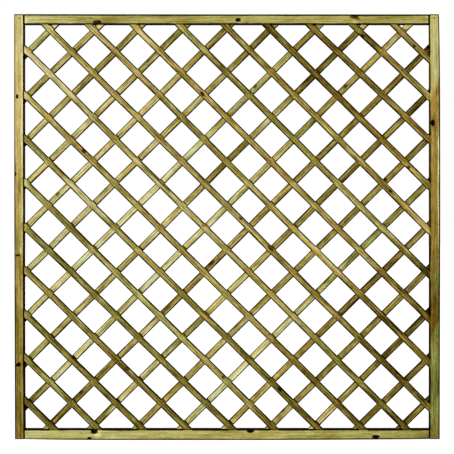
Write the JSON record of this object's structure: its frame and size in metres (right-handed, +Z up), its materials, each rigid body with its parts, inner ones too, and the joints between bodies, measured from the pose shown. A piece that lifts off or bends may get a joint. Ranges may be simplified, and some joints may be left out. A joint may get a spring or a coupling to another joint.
{
  "type": "wooden trellis",
  "caption": "Square framed trellis panel: grooved softwood stiles and rails around an open diagonal lattice of two crossed layers of laths.",
  "frame": {"origin": "middle of the bottom edge, halfway between the front and the back face", "axes": "+Z up along the stiles, +X along the rails to the right seen from the front, +Y from the front face to the back face"},
  "size_m": [1.83, 0.042, 1.83],
  "materials": {
    "frame_pine": "planed pressure-treated pine, yellow-green to brown, matt",
    "front_lath_pine": "planed pressure-treated pine laths, straw to olive and brown, matt",
    "back_lath_pine": "planed pressure-treated pine laths, cream to brown, matt",
    "nail_steel": "galvanised wire nails, dull grey"
  },
  "bodies": {
    "root": {"left_stile": "frame_pine", "right_stile": "frame_pine", "top_rail": "frame_pine", "bottom_rail": "frame_pine", "front_lath_01": "front_lath_pine", "front_lath_02": "front_lath_pine", "front_lath_03": "front_lath_pine", "front_lath_04": "front_lath_pine", "front_lath_05": "front_lath_pine", "front_lath_06": "front_lath_pine", "front_lath_07": "front_lath_pine", "front_lath_08": "front_lath_pine", "front_lath_09": "front_lath_pine", "front_lath_10": "front_lath_pine", "front_lath_11": "front_lath_pine", "front_lath_12": "front_lath_pine", "front_lath_13": "front_lath_pine", "front_lath_14": "front_lath_pine", "front_lath_15": "front_lath_pine", "front_lath_16": "front_lath_pine", "front_lath_17": "front_lath_pine", "front_lath_18": "front_lath_pine", "back_lath_01": "back_lath_pine", "back_lath_02": "back_lath_pine", "back_lath_03": "back_lath_pine", "back_lath_04": "back_lath_pine", "back_lath_05": "back_lath_pine", "back_lath_06": "back_lath_pine", "back_lath_07": "back_lath_pine", "back_lath_08": "back_lath_pine", "back_lath_09": "back_lath_pine", "back_lath_10": "back_lath_pine", "back_lath_11": "back_lath_pine", "back_lath_12": "back_lath_pine", "back_lath_13": "back_lath_pine", "back_lath_14": "back_lath_pine", "back_lath_15": "back_lath_pine", "back_lath_16": "back_lath_pine", "back_lath_17": "back_lath_pine", "back_lath_18": "back_lath_pine", "corner_nail_top_left": "nail_steel", "corner_nail_top_right": "nail_steel", "corner_nail_bottom_left": "nail_steel", "corner_nail_bottom_right": "nail_steel"}
  },
  "joints": []
}
